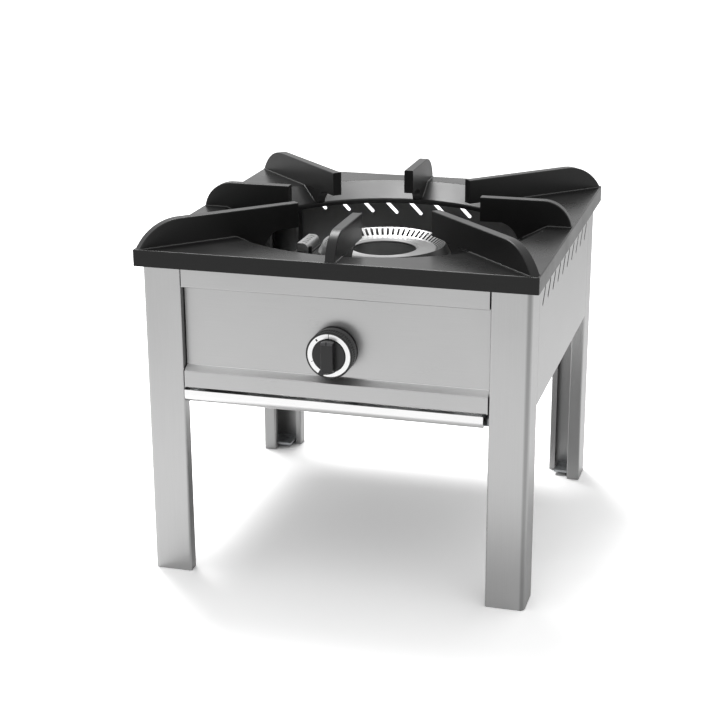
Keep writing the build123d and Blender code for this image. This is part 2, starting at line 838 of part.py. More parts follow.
# ---- Gas supply: pipe from the threaded inlet at the back round to the tap ----
with BuildPart() as gas_pipe:
    with BuildLine() as gas_path:
        FilletPolyline(
            (inlet_boss_x, inlet_y, knob_z),
            (gas_pipe_x, inlet_y, knob_z),
            (gas_pipe_x, inlet_socket_y, knob_z),
            radius=gas_pipe_bend,
        )
    with BuildSketch(Plane(origin=gas_path.line @ 0, z_dir=gas_path.line % 0)):
        Circle(gas_pipe_r)
        Circle(gas_pipe_r - gas_pipe_wall, mode=Mode.SUBTRACT)
    sweep(path=gas_path.line)
    with BuildSketch(Plane(origin=gas_path.line @ 0, z_dir=gas_path.line % 0)):
        RegularPolygon(radius=pipe_nut_r, side_count=6)
        Circle(gas_pipe_r - gas_pipe_wall, mode=Mode.SUBTRACT)
    extrude(amount=pipe_nut)
save(gas_pipe.part, "gas_pipe")

inlet_inside = Plane(
    origin=(gas_pipe_x, body_half - panel_sheet - inlet_nut, knob_z), x_dir=(-1, 0, 0), z_dir=(0, 1, 0)
)
inlet_length = reach - body_half + panel_sheet + inlet_nut
with BuildPart() as gas_inlet:
    with BuildSketch(inlet_inside):
        RegularPolygon(radius=inlet_nut_r, side_count=6)
    extrude(amount=inlet_nut)
    with BuildSketch(inlet_inside.offset(inlet_nut + panel_sheet)):
        RegularPolygon(radius=inlet_nut_r, side_count=6)
    extrude(amount=inlet_nut)
    with BuildSketch(inlet_inside):
        Circle(inlet_thread_r)
    extrude(amount=inlet_length)
    with BuildSketch(inlet_inside):
        Circle(gas_pipe_r)
    extrude(amount=inlet_socket_y - inlet_inside.origin.Y, mode=Mode.SUBTRACT)
    with BuildSketch(inlet_inside):
        Circle(inlet_bore_r)
    extrude(amount=inlet_length, mode=Mode.SUBTRACT)
save(gas_inlet.part, "gas_inlet")


# ---- Drip tray: folded pan, its deeper rounded front hiding the angle at each side ----
tray_top_z = panel_bottom_z - tray_gap
tray_bottom_z = tray_top_z - tray_front_height
tray_floor_z = tray_bottom_z + tray_floor_rise
tray_half = lip_x - tray_play / 2
tray_x = part_gap - tray_play / 2
pan_half = tray_half - tray_side_inset
tray_back_y = body_half - tray_back_gap
pan_front_y = front_y + tray_sheet / 2


def pan_fold():
    """The pan's front, floor and back as one line seen from the side, in the open sketch."""
    return FilletPolyline(
        (pan_front_y, tray_top_z),
        (pan_front_y, tray_floor_z),
        (tray_back_y, tray_floor_z),
        (tray_back_y, tray_top_z),
        radius=tray_back_r,
    )


with BuildPart() as drip_tray:
    with BuildSketch(Plane.YZ.offset(tray_x)):
        with BuildLine():
            FilletPolyline(
                (front_y, tray_top_z),
                (front_y, tray_bottom_z),
                (front_y + tray_front_r + 1, tray_bottom_z),
                radius=tray_front_r,
            )
            offset(amount=tray_sheet, side=Side.LEFT)
        make_face()
    extrude(amount=tray_half, both=True)
    with BuildSketch(Plane.YZ.offset(tray_x)):
        with BuildLine():
            pan_fold()
            offset(amount=tray_sheet, side=Side.LEFT)
        make_face()
    extrude(amount=pan_half, both=True)
    for end_x in (-pan_half, pan_half - tray_sheet):
        with BuildSketch(Plane.YZ.offset(tray_x + end_x)):
            with BuildLine():
                fold = pan_fold()
                Line(fold @ 1, fold @ 0)
            make_face()
        extrude(amount=tray_sheet)
save(drip_tray.part, "drip_tray")


def tray_runner(label, side):
    ledge_z = tray_floor_z - part_gap - panel_sheet
    with BuildPart() as runner:
        with BuildSketch(Plane.XZ):
            with BuildLine():
                FilletPolyline(
                    (side * lip_x, ledge_z + runner_rise),
                    (side * lip_x, ledge_z),
                    (side * (lip_x - runner_ledge), ledge_z),
                    radius=panel_sheet + 0.5,
                )
                offset(amount=panel_sheet, side=Side.RIGHT if side > 0 else Side.LEFT)
            make_face()
        extrude(amount=body_half - runner_gap, both=True)
    save(runner.part, label)


tray_runner("tray_runner_left", -1)
tray_runner("tray_runner_right", 1)
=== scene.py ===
import math

import bmesh
import bpy
from mathutils import Matrix, Vector


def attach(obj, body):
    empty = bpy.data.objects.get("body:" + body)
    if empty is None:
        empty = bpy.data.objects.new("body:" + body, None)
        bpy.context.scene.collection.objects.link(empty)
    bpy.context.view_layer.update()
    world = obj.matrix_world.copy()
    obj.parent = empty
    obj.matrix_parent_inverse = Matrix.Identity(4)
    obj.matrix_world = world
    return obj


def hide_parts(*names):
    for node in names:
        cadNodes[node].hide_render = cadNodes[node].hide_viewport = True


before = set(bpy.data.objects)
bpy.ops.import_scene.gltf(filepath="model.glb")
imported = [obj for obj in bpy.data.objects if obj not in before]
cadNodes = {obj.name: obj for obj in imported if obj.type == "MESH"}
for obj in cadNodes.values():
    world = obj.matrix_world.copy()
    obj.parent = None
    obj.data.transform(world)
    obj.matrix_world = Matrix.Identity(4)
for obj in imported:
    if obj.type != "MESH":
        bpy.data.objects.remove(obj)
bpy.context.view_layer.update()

mm = 0.001
noiseMiddle = (0.3, 0.7)  # between which most values of a noise lie
print("frame loaded,", len(cadNodes), "pieces of the range")


def toLinear(hexColour):
    # sRGB hex to the linear values that shaders take
    channels = [int(hexColour[i:i + 2], 16) / 255 for i in (1, 3, 5)]
    linear = [c / 12.92 if c <= 0.04045 else ((c + 0.055) / 1.055) ** 2.4 for c in channels]
    return (*linear, 1.0)


def addNode(tree, kind, settings=None, links=None):
    # one node, its settings (sockets by name or number, else properties) and what feeds it
    node = tree.nodes.new(kind)
    for key, value in (settings or {}).items():
        if isinstance(key, int) or key in node.inputs:
            node.inputs[key].default_value = value
        else:
            setattr(node, key, value)
    for key, source in (links or {}).items():
        tree.links.new(source, node.inputs[key])
    return node


def newMaterial(name, shaderSettings):
    material = bpy.data.materials.new(name)
    material.use_nodes = True
    tree = material.node_tree
    tree.nodes.clear()
    shader = addNode(tree, "ShaderNodeBsdfPrincipled", shaderSettings)
    addNode(tree, "ShaderNodeOutputMaterial", links={"Surface": shader.outputs[0]})
    return material, tree, shader


def grainNoise(tree, sizes, detail=2.0, roughness=0.5):
    # noise whose blotches measure sizes (x, y, z) in millimetres on the object
    place = addNode(tree, "ShaderNodeTexCoord")
    scaled = addNode(
        tree, "ShaderNodeMapping",
        {"Scale": tuple(1 / (size * mm) for size in sizes)},
        {"Vector": place.outputs["Object"]},
    )
    return addNode(
        tree, "ShaderNodeTexNoise",
        {"Scale": 1.0, "Detail": detail, "Roughness": roughness},
        {"Vector": scaled.outputs[0]},
    ).outputs[0]


def withinBox(tree, place, low, high, soft):
    # 1 inside the box between two corners, 0 outside it, and a slope as wide as soft just
    # inside its faces, all in millimetres
    middle = tuple((a + b) / 2 * mm for a, b in zip(low, high))
    half = tuple((b - a) / 2 * mm for a, b in zip(low, high))
    offset = addNode(
        tree, "ShaderNodeVectorMath", {"operation": "SUBTRACT", 1: middle}, {0: place},
    )
    away = addNode(
        tree, "ShaderNodeVectorMath", {"operation": "ABSOLUTE"}, {0: offset.outputs[0]},
    )
    past = addNode(
        tree, "ShaderNodeVectorMath", {"operation": "SUBTRACT", 1: half}, {0: away.outputs[0]},
    )
    split = addNode(tree, "ShaderNodeSeparateXYZ", links={0: past.outputs[0]})
    furthest = split.outputs["X"]
    for axis in ("Y", "Z"):
        furthest = addNode(
            tree, "ShaderNodeMath", {"operation": "MAXIMUM"},
            {0: furthest, 1: split.outputs[axis]},
        ).outputs[0]
    return addNode(
        tree, "ShaderNodeMapRange",
        {"From Min": -soft * mm, "From Max": 0.0, "To Min": 1.0, "To Max": 0.0},
        {"Value": furthest},
    ).outputs[0]


def zoneShare(tree, zone):
    # how far a point of the object lies in a zone, 0 to 1, where painted light or shade or a
    # change of roughness is laid. What the zone names narrows it: a box from low to high, a ramp
    # from 0 to 1 along an axis, the radius it lies beyond, and a smaller zone that is spared. All
    # sizes are in millimetres.
    place = addNode(tree, "ShaderNodeTexCoord").outputs["Object"]
    parts = []
    if "low" in zone:
        parts.append(withinBox(tree, place, zone["low"], zone["high"], zone.get("soft", 0.1)))
    if "ramp" in zone:
        axis, start, end = zone["ramp"]
        split = addNode(tree, "ShaderNodeSeparateXYZ", links={0: place})
        parts.append(addNode(
            tree, "ShaderNodeMapRange", {"From Min": start * mm, "From Max": end * mm},
            {"Value": split.outputs[axis]},
        ).outputs[0])
    if "beyondR" in zone:
        flat = addNode(
            tree, "ShaderNodeVectorMath", {"operation": "MULTIPLY", 1: (1.0, 1.0, 0.0)},
            {0: place},
        )
        radius = addNode(
            tree, "ShaderNodeVectorMath", {"operation": "LENGTH"}, {0: flat.outputs[0]},
        )
        parts.append(addNode(
            tree, "ShaderNodeMath", {"operation": "GREATER_THAN", 1: zone["beyondR"] * mm},
            {0: radius.outputs["Value"]},
        ).outputs[0])
    share = parts[0]
    for part in parts[1:]:
        share = addNode(
            tree, "ShaderNodeMath", {"operation": "MULTIPLY"}, {0: share, 1: part},
        ).outputs[0]
    if "spared" in zone:
        share = addNode(
            tree, "ShaderNodeMath", {"operation": "SUBTRACT", "use_clamp": True},
            {0: share, 1: zoneShare(tree, zone["spared"])},
        ).outputs[0]
    return share


def dressShader(tree, shader, finish, colourBy, roughBy, reliefBy=None, roughFrom=noiseMiddle):
    # patterns drive a finish: its colour runs from darkHex to lightHex, the middle of a
    # pattern's values is spread over its roughness, and its relief is reliefHeight deep
    colour = addNode(
        tree, "ShaderNodeMix",
        {"data_type": "RGBA", 6: toLinear(finish["darkHex"]), 7: toLinear(finish["lightHex"])},
        {0: colourBy},
    ).outputs[2]
    rough = None
    if "roughness" in finish:
        spread = dict(zip(("From Min", "From Max", "To Min", "To Max"),
                          (*roughFrom, *finish["roughness"])))
        rough = addNode(tree, "ShaderNodeMapRange", spread, {"Value": roughBy}).outputs[0]
    for zone in finish.get("zones", {}).values():
        share = zoneShare(tree, zone)
        if "shade" in zone:  # what the colour is multiplied by
            factor = addNode(
                tree, "ShaderNodeMapRange", {"To Min": 1.0, "To Max": zone["shade"]},
                {"Value": share},
            )
            colour = addNode(
                tree, "ShaderNodeVectorMath", {"operation": "SCALE"},
                {0: colour, "Scale": factor.outputs[0]},
            ).outputs[0]
        if "rougher" in zone:  # what is added to the roughness
            rough = addNode(
                tree, "ShaderNodeMath", {"operation": "MULTIPLY_ADD", 1: zone["rougher"]},
                {0: share, 2: rough},
            ).outputs[0]
    tree.links.new(colour, shader.inputs["Base Color"])
    if rough:
        tree.links.new(rough, shader.inputs["Roughness"])
    if "reliefHeight" in finish:
        relief = addNode(
            tree, "ShaderNodeBump",
            {"Strength": finish["reliefStrength"], "Distance": finish["reliefHeight"] * mm},
            {"Height": reliefBy},
        )
        tree.links.new(relief.outputs[0], shader.inputs["Normal"])


def makeGrained(name, finish):
    # a material whose one grain drives colour, roughness and relief together
    material, tree, shader = newMaterial(name, finish["shader"])
    grain = grainNoise(
        tree, finish["grain"], finish["detail"], finish.get("grainRoughness", 0.5),
    )
    dressShader(tree, shader, finish, grain, grain, grain)
    return material


# Satin stainless sheet, belt-brushed along its length: soft streaks that blur
# reflections along the grain. The real scratches are near 0.1 mm, drawn at 0.9 mm to show.
# Painted shade darkens the steel that faces the hollow of the stand, a front lip, the back legs
# towards their feet and, as a dark reflection, the front right bend; painted light brightens the
# sill, which is also made rougher.
brushedSteel = {
    "darkHex": "#b7b7b7",
    "lightHex": "#c5c5c5",
    "grazingHex": "#dedede",
    "anisotropy": 0.45,
    "roughness": (0.27, 0.36),
    "scratchWidth": 0.9,
    "scratchLength": 70.0,
    "scratchShare": 0.6,
    "patchSize": 160.0,
    "patchShare": 0.4,
    "reliefHeight": 0.012,
    "reliefStrength": 0.5,
    "zones": {
        # painted shade on the steel that faces the inside of the stand
        "paintedShadeInside": {
            "low": (-288.9, -276.2, 302.0), "high": (288.9, 288.9, 509.5), "shade": 0.42,
        },
        # painted light brightening the sill, which is also made rougher
        "paintedLightSill": {
            "low": (-231.0, -289.6, 327.4), "high": (231.0, -277.2, 334.6), "shade": 1.65,
            "rougher": 0.13,
        },
        # painted shade on a front leg's lip, full below 240 mm and fading out by 328 mm
        "paintedShadeLowLip": {
            "low": (-233.6, -287.0, -1.0), "high": (-230.4, -266.0, 330.0), "shade": 0.58,
            "ramp": ("Z", 328.0, 240.0),
        },
        # painted shade, deep, on that lip beside the recessed control panel
        "paintedShadeLipByPanel": {
            "low": (-233.6, -288.6, 331.0), "high": (-230.4, -266.0, 456.0), "shade": 0.38,
        },
        # painted dark reflection along the stand's rounded front right corner
        "paintedReflectionBend": {
            "low": (281.4, -294.5, -5.0), "high": (290.6, -282.8, 514.0), "shade": 0.6,
            "soft": 3.2,
        },
        # painted shade on the back left leg, full below 200 mm and fading out by 410 mm
        "paintedShadeBackLegLeft": {
            "low": (-289.2, 229.4, -1.0), "high": (-229.4, 289.2, 420.0), "shade": 0.7,
            "ramp": ("Z", 410.0, 200.0),
        },
        # painted shade on the back right leg, full below 200 mm and fading out by 410 mm
        "paintedShadeBackLegRight": {
            "low": (229.4, 229.4, -1.0), "high": (289.2, 289.2, 420.0), "shade": 0.7,
            "ramp": ("Z", 410.0, 200.0),
        },
    },
}


def makeBrushedSteel(name, grainAxis):
    material, tree, shader = newMaterial(name, {
        "Metallic": 1.0, "Anisotropic": brushedSteel["anisotropy"],
        "Specular Tint": toLinear(brushedSteel["grazingHex"]),
    })
    width, length = brushedSteel["scratchWidth"], brushedSteel["scratchLength"]
    sizes = (width, width, length) if grainAxis == "z" else (length, length, width)
    scratches = grainNoise(tree, sizes, detail=3.0)
    patches = addNode(
        tree, "ShaderNodeMapRange",
        {
            "From Min": noiseMiddle[0], "From Max": noiseMiddle[1],
            "To Max": brushedSteel["patchShare"],
        },
        {"Value": grainNoise(tree, (brushedSteel["patchSize"],) * 3)},
    )
    both = addNode(
        tree, "ShaderNodeMath", {"operation": "MULTIPLY_ADD", 1: brushedSteel["scratchShare"]},
        {0: scratches, 2: patches.outputs[0]},
    ).outputs[0]
    dressShader(tree, shader, brushedSteel, both, both, scratches, roughFrom=(0.25, 0.75))
    return material


# Bright annealed stainless, as rolled for trays: nearly a mirror, faintly wavy.
brightSteel = {
    "darkHex": "#ededed",
    "lightHex": "#f7f7f7",
    "roughness": (0.12, 0.2),
    "smearSizes": (60.0, 15.0, 20.0),
    "waveSize": 45.0,
    "reliefHeight": 0.05,
    "reliefStrength": 0.4,
}


def makeBrightSteel(name):
    material, tree, shader = newMaterial(name, {"Metallic": 1.0})
    smears = grainNoise(tree, brightSteel["smearSizes"], detail=4.0)
    waves = grainNoise(tree, (brightSteel["waveSize"],) * 3, detail=1.0)
    dressShader(tree, shader, brightSteel, smears, smears, waves)
    return material


# Zinc-coated steel: grey crystal flakes, each a slightly different brightness.
zincSteel = {
    "darkHex": "#9b9ea0",
    "lightHex": "#b4b7b9",
    "roughness": (0.35, 0.5),
    "flakeSize": 9.0,
}


def makeZincSteel(name):
    material, tree, shader = newMaterial(name, {"Metallic": 1.0})
    place = addNode(tree, "ShaderNodeTexCoord")
    flakes = addNode(
        tree, "ShaderNodeTexVoronoi",
        {"Scale": 1 / (zincSteel["flakeSize"] * mm), "feature": "F1"},
        {"Vector": place.outputs["Object"]},
    )
    # every flake has its own random colour, of which two channels are used
    shades = addNode(tree, "ShaderNodeSeparateColor", links={0: flakes.outputs["Color"]})
    dressShader(
        tree, shader, zincSteel, shades.outputs[0], shades.outputs[1], roughFrom=(0.0, 1.0),
    )
    return material


# Black heat-proof enamel, sprayed and fired: satin, with a fine orange peel. The flat plate
# is wiped more often than the rest and a touch smoother.
blackEnamel = {
    "darkHex": "#131313",
    "lightHex": "#1a1a1a",
    "roughness": (0.3, 0.38),
    "gloss": 0.37,
    "peelSize": 1.8,
    "patchSize": 90.0,
    "reliefHeight": 0.02,
    "reliefStrength": 0.5,
    "zones": {
        "wipedPlate": {
            "low": (-299.0, -299.0, 510.4), "high": (299.0, 299.0, 511.6), "rougher": -0.06,
        },
    },
}

# The same enamel on the weld beads, glossier, and greyer as a painted highlight along each rib's
# foot.
weldHighlightEnamel = dict(
    blackEnamel, darkHex="#3c3c3c", lightHex="#565656", roughness=(0.2, 0.28), gloss=0.5,
)


def makeEnamel(name, enamel):
    material, tree, shader = newMaterial(name, {
        "Metallic": 0.0, "IOR": 1.5, "Specular IOR Level": enamel["gloss"],
    })
    peel = grainNoise(tree, (enamel["peelSize"],) * 3)
    patches = grainNoise(tree, (enamel["patchSize"],) * 3, detail=3.0)
    dressShader(tree, shader, enamel, peel, patches, peel)
    return material


# Cast burner metal, sand-cast and blasted: pale silver grey with a fine pitted skin. Painted
# shade darkens the right of its rim strongly, and its right and its front less.
castSilver = {
    "shader": {"Metallic": 1.0},
    "darkHex": "#9e9e9e",
    "lightHex": "#bdbdbd",
    "roughness": (0.28, 0.42),
    "grain": (1.2, 1.2, 1.2),
    "detail": 4.0,
    "grainRoughness": 0.6,
    "reliefHeight": 0.05,
    "reliefStrength": 0.6,
    "zones": {
        # painted shade, deep, on the rim's right, beyond a radius of 97.2 mm
        "paintedShadeRim": {"ramp": ("X", 15.0, 60.0), "beyondR": 97.2, "shade": 0.3},
        # painted shade growing towards the ring's right
        "paintedShadeRight": {"ramp": ("X", 5.0, 75.0), "shade": 0.62},
        # painted shade growing towards the ring's front
        "paintedShadeFront": {"ramp": ("Y", -45.0, -62.0), "shade": 0.55},
    },
}

# Sand-cast iron: grainy, from dull black where flames have sooted it to worn grey. The
# grains of sand are near 0.4 mm, drawn at 1 mm or more to show.
castIron = {
    "shader": {"Metallic": 0.9},
    "grain": (1.0, 1.0, 1.0),
    "detail": 5.0,
    "grainRoughness": 0.65,
    "reliefHeight": 0.06,
    "reliefStrength": 0.7,
}
sootedIron = dict(
    castIron, darkHex="#1d1d1d", lightHex="#2f2f2f", roughness=(0.5, 0.68), reliefHeight=0.08,
)
pilotIron = dict(castIron, darkHex="#aaaaaa", lightHex="#c4c4c4", roughness=(0.32, 0.45))
burnerIron = dict(
    castIron, darkHex="#7d7d7d", lightHex="#979797", roughness=(0.34, 0.5),
    grain=(1.2, 1.2, 1.2),
)

# Turned brass and steel, and drawn steel and aluminium tube: faint rings left by the tool.
# Real rings are near 0.2 mm apart, drawn at 0.6 mm or more to show.
turnedMetal = {"shader": {"Metallic": 1.0}, "detail": 3.0}
turnedBrass = dict(
    turnedMetal, darkHex="#b8954f", lightHex="#d3b26a", roughness=(0.22, 0.34),
    grain=(8.0, 0.8, 8.0),
)
steelTube = dict(
    turnedMetal, darkHex="#a9abad", lightHex="#c2c4c6", roughness=(0.28, 0.4),
    grain=(8.0, 1.5, 8.0),
)
aluminiumTube = dict(
    turnedMetal, darkHex="#c6c8ca", lightHex="#dcdee0", roughness=(0.3, 0.42),
    grain=(8.0, 1.5, 8.0),
)
turnedSteel = dict(
    turnedMetal, darkHex="#a5a6a7", lightHex="#c5c6c7", roughness=(0.2, 0.32),
    grain=(8.0, 0.6, 8.0),
)

# Black phenolic, compression moulded: deep satin black, very slightly mottled. The grip's
# upper end is lightened as a painted highlight on both sides of a black mark.
blackPhenolic = {
    "shader": {"Metallic": 0.0, "IOR": 1.55},
    "darkHex": "#121213",
    "lightHex": "#1a1a1b",
    "roughness": (0.3, 0.4),
    "grain": (1.5, 1.5, 1.5),
    "detail": 3.0,
    "reliefHeight": 0.015,
    "reliefStrength": 0.4,
    "zones": {
        # painted highlight on the grip's upper end, sparing the black mark
        "paintedHighlightTip": {
            "low": (-9.4, -320.0, 394.0), "high": (9.4, -316.4, 400.6), "soft": 1.0,
            "shade": 12.0,
            "spared": {"low": (-1.9, -321.0, 392.0), "high": (1.3, -316.0, 402.0), "soft": 0.5},
        },
    },
}

# Black rubber gasket, moulded: soot black and matt, with a faint bloom; it also paints the
# contact shade at the bezel's foot.
blackRubberAndShade = {
    "shader": {"Metallic": 0.0, "IOR": 1.5, "Specular IOR Level": 0.25},
    "darkHex": "#060606",
    "lightHex": "#0f0f0f",
    "roughness": (0.7, 0.85),
    "grain": (2.0, 2.0, 2.0),
    "detail": 3.0,
    "reliefHeight": 0.02,
    "reliefStrength": 0.3,
}

# Silver stamping foil, hot-pressed into the bezel: mirrors the pale room, so it reads white,
# with tiny speckles.
silverFoil = {
    "shader": {"Metallic": 1.0, "Roughness": 0.3},
    "darkHex": "#f4f4f4",
    "lightHex": "#fdfdfd",
    "grain": (0.5, 0.5, 0.5),
    "detail": 2.0,
}

materials = {
    "brushedAcross": makeBrushedSteel("stainlessBrushedAcross", "xy"),
    "brushedUpright": makeBrushedSteel("stainlessBrushedUpright", "z"),
    "brightSteel": makeBrightSteel("stainlessBrightAnnealed"),
    "zincSteel": makeZincSteel("steelZincCoated"),
    "blackEnamel": makeEnamel("enamelBlackFired", blackEnamel),
    "weldHighlightEnamel": makeEnamel("enamelBlackWeldPaintedHighlight", weldHighlightEnamel),
    "castSilver": makeGrained("burnerMetalCastSilver", castSilver),
    "sootedIron": makeGrained("ironSootedBlack", sootedIron),
    "pilotIron": makeGrained("ironPilotGrey", pilotIron),
    "burnerIron": makeGrained("ironBurnerGrey", burnerIron),
    "brass": makeGrained("turnedBrass", turnedBrass),
    "steelTube": makeGrained("drawnSteelTube", steelTube),
    "aluminiumTube": makeGrained("drawnAluminiumTube", aluminiumTube),
    "turnedSteel": makeGrained("turnedSteel", turnedSteel),
    "phenolic": makeGrained("phenolicBlackMoulded", blackPhenolic),
    "blackRubberAndShade": makeGrained("rubberBlackMouldedAndShade", blackRubberAndShade),
    "silverFoil": makeGrained("foilSilverStamped", silverFoil),
}

corners = ("front_left", "front_right", "back_left", "back_right")
finishOf = {
    "brushedUpright": [f"leg_{corner}" for corner in corners],
    "brushedAcross": [
        "front_rail", "control_panel", "side_panel_left", "side_panel_right", "back_panel",
    ],
    "brightSteel": ["drip_tray"],
    "zincSteel": [f"foot_plate_{corner}" for corner in corners] + [
        "tray_runner_left", "tray_runner_right", "burner_bar_front", "burner_bar_back",
        "air_shutter",
    ],
    "blackEnamel": ["hob_top"] + [name for name in cadNodes if name.startswith("rib_")],
    "castSilver": ["burner_ring"],
    "burnerIron": ["burner_body"],
    "pilotIron": ["pilot_burner"],
    "sootedIron": ["magnet_unit", "pilot_bracket", "thermocouple"],
    "brass": ["tap_body", "tap_bonnet", "tap_plug", "injector", "gas_inlet"],
    "steelTube": ["gas_pipe"],
    "aluminiumTube": ["outlet_pipe", "pilot_pipe", "thermocouple_lead"],
    "turnedSteel": ["spindle"],
    "phenolic": ["knob", "knob_bezel"],
}
for finish, names in finishOf.items():
    for name in names:
        mesh = cadNodes[name].data
        mesh.materials.clear()
        mesh.materials.append(materials[finish])
print("materials on all CAD pieces")


def newPiece(name, bm, material, body, sharpFrom=None):
    # edges that turn by more than sharpFrom degrees stay crisp, the others are smoothed
    mesh = bpy.data.meshes.new(name)
    bmesh.ops.recalc_face_normals(bm, faces=bm.faces)
    bm.to_mesh(mesh)
    bm.free()
    mesh.shade_smooth()
    if sharpFrom:
        mesh.set_sharp_from_angle(angle=math.radians(sharpFrom))
    piece = bpy.data.objects.new(name, mesh)
    bpy.context.scene.collection.objects.link(piece)
    mesh.materials.append(materials[material])
    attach(piece, body)
    return piece


def sweepBead(bm, points, radius, sides):
    # a closed round bead along a line of points
    rings = []
    for i, point in enumerate(points):
        before, after = points[max(i - 1, 0)], points[min(i + 1, len(points) - 1)]
        along = (after - before).normalized()
        sideways = along.cross(Vector((0, 0, 1)))
        sideways.normalize()
        upward = sideways.cross(along)
        rings.append([
            bm.verts.new(point + radius * (sideways * math.cos(a) + upward * math.sin(a)))
            for a in (2 * math.pi * k / sides for k in range(sides))
        ])
    for one, two in zip(rings, rings[1:]):
        for k in range(sides):
            bm.faces.new((one[k], one[(k + 1) % sides], two[(k + 1) % sides], two[k]))
    bm.faces.new(rings[0])
    bm.faces.new(list(reversed(rings[-1])))


# Weld beads along both feet of every rib, under the enamel. They follow the hob's plate and
# its dish, and stop short of the hole.
weldBead = {
    "radius": 1.3, "sides": 8, "step": 4.0, "ripple": 0.18, "rippleRate": 1.9,
    "stopBefore": 3.0,
}
ribs = {"count": 8, "thick": 15.0, "shortEndR": 297.0, "longEndR": 414.0}
hobShape = {"topZ": 511.0, "dishOuterR": 260.0, "dishInnerR": 217.0, "dishDrop": 23.5}


def dishHeight(radius):
    # height of the hob's upper surface at a distance from the burner's axis
    if radius >= hobShape["dishOuterR"]:
        return hobShape["topZ"]
    dishWidth = hobShape["dishOuterR"] - hobShape["dishInnerR"]
    return hobShape["topZ"] - hobShape["dishDrop"] * (hobShape["dishOuterR"] - radius) / dishWidth


beads = bmesh.new()
for turn in range(ribs["count"]):
    heading = math.radians(360 / ribs["count"] * turn)
    outward = Vector((math.cos(heading), math.sin(heading), 0))
    aside = Vector((-math.sin(heading), math.cos(heading), 0)) * (ribs["thick"] / 2)
    for sign in (-1, 1):
        line = []
        reach = ribs["longEndR"] if turn % 2 else ribs["shortEndR"]
        while reach > hobShape["dishInnerR"] + weldBead["stopBefore"]:
            wave = weldBead["ripple"] * math.sin(reach * weldBead["rippleRate"] + turn)
            height = dishHeight(math.hypot(reach, ribs["thick"] / 2))
            line.append((outward * reach + aside * sign + Vector((0, 0, height + wave))) * mm)
            reach -= weldBead["step"]
        sweepBead(beads, line, weldBead["radius"] * mm, weldBead["sides"])
# the beads' greyer enamel is a painted highlight along each rib's foot
newPiece("ribWeldBeads", beads, "weldHighlightEnamel", "hob")
print("weld beads laid along the ribs")

# Bezel round the knob: a fluted drum, stepped in at its foot for the gasket
bezel = {
    "axisZ": 375.5, "panelY": -277.0, "outerR": 35.0, "innerR": 24.6, "depth": 29.0,
    "floor": 3.0, "holeR": 10.5, "edge": 1.2, "edgeRound": 0.3, "chamfer": 0.4,
    "fluteCount": 60, "fluteColumns": 6, "fluteDepth": 1.5, "fluteFrom": 15.5,
    "fluteTo": 27.4, "fluteSlope": 1.5, "gasketDepth": 4.2, "gasketStep": 1.0,
    "gasketGap": 0.02, "gasketColumns": 120, "sharpFrom": 35.0,
}


def bezelPoint(radius, angle, depth):
    # angle runs counter-clockwise from the top as the user sees it
    return Vector((
        -radius * math.sin(angle), bezel["panelY"] - depth,
        bezel["axisZ"] + radius * math.cos(angle),
    )) * mm


def bezelProfile(angle):
    # radius and depth of each corner of the bezel's section, flutes dipping in and out
    outer, edge, chamfer = bezel["outerR"], bezel["edge"], bezel["chamfer"]
    dip = 0.5 - 0.5 * math.cos(bezel["fluteCount"] * angle)
    low = outer - bezel["fluteDepth"] * dip
    nose = bezel["edgeRound"] * edge
    return [
        (bezel["holeR"], 0.0), (outer - bezel["gasketStep"], 0.0),
        (outer - bezel["gasketStep"], bezel["gasketDepth"] + chamfer),
        (outer - chamfer, bezel["gasketDepth"] + chamfer),
        (outer, bezel["gasketDepth"] + 2 * chamfer), (outer, bezel["fluteFrom"]),
        (low, bezel["fluteFrom"] + bezel["fluteSlope"]),
        (low, bezel["fluteTo"] - bezel["fluteSlope"]), (outer, bezel["fluteTo"]),
        (outer, bezel["depth"] - edge), (outer - nose, bezel["depth"] - nose),
        (outer - edge, bezel["depth"]), (bezel["innerR"] + chamfer, bezel["depth"]),
        (bezel["innerR"], bezel["depth"] - chamfer), (bezel["innerR"], bezel["floor"]),
        (bezel["holeR"], bezel["floor"]),
    ]


def gasketProfile(angle):
    # a plain ring, the same all round, as wide as the bezel
    inner = bezel["outerR"] - bezel["gasketStep"] + bezel["gasketGap"]
    return [
        (inner, 0.0), (bezel["outerR"], 0.0),
        (bezel["outerR"], bezel["gasketDepth"]), (inner, bezel["gasketDepth"]),
    ]


def turnProfile(profile, columnCount):
    # a closed ring round the knob's axis, from the section that profile gives at each angle
    bm = bmesh.new()
    columns = []
    for i in range(columnCount):
        angle = 2 * math.pi * i / columnCount
        columns.append([bm.verts.new(bezelPoint(r, angle, d)) for r, d in profile(angle)])
    for one, two in zip(columns, columns[1:] + columns[:1]):
        for k in range(len(one)):
            after = (k + 1) % len(one)
            bm.faces.new((one[k], two[k], two[after], one[after]))
    return bm


bezelPiece = newPiece(
    "knobBezelFluted", turnProfile(bezelProfile, bezel["fluteCount"] * bezel["fluteColumns"]),
    "phenolic", "base", bezel["sharpFrom"],
)
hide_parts("knob_bezel")
# the gasket ring's matt black paints the contact shade where the bezel meets the panel
newPiece(
    "knobGasketAndShade", turnProfile(gasketProfile, bezel["gasketColumns"]),
    "blackRubberAndShade", "base", bezel["sharpFrom"],
)

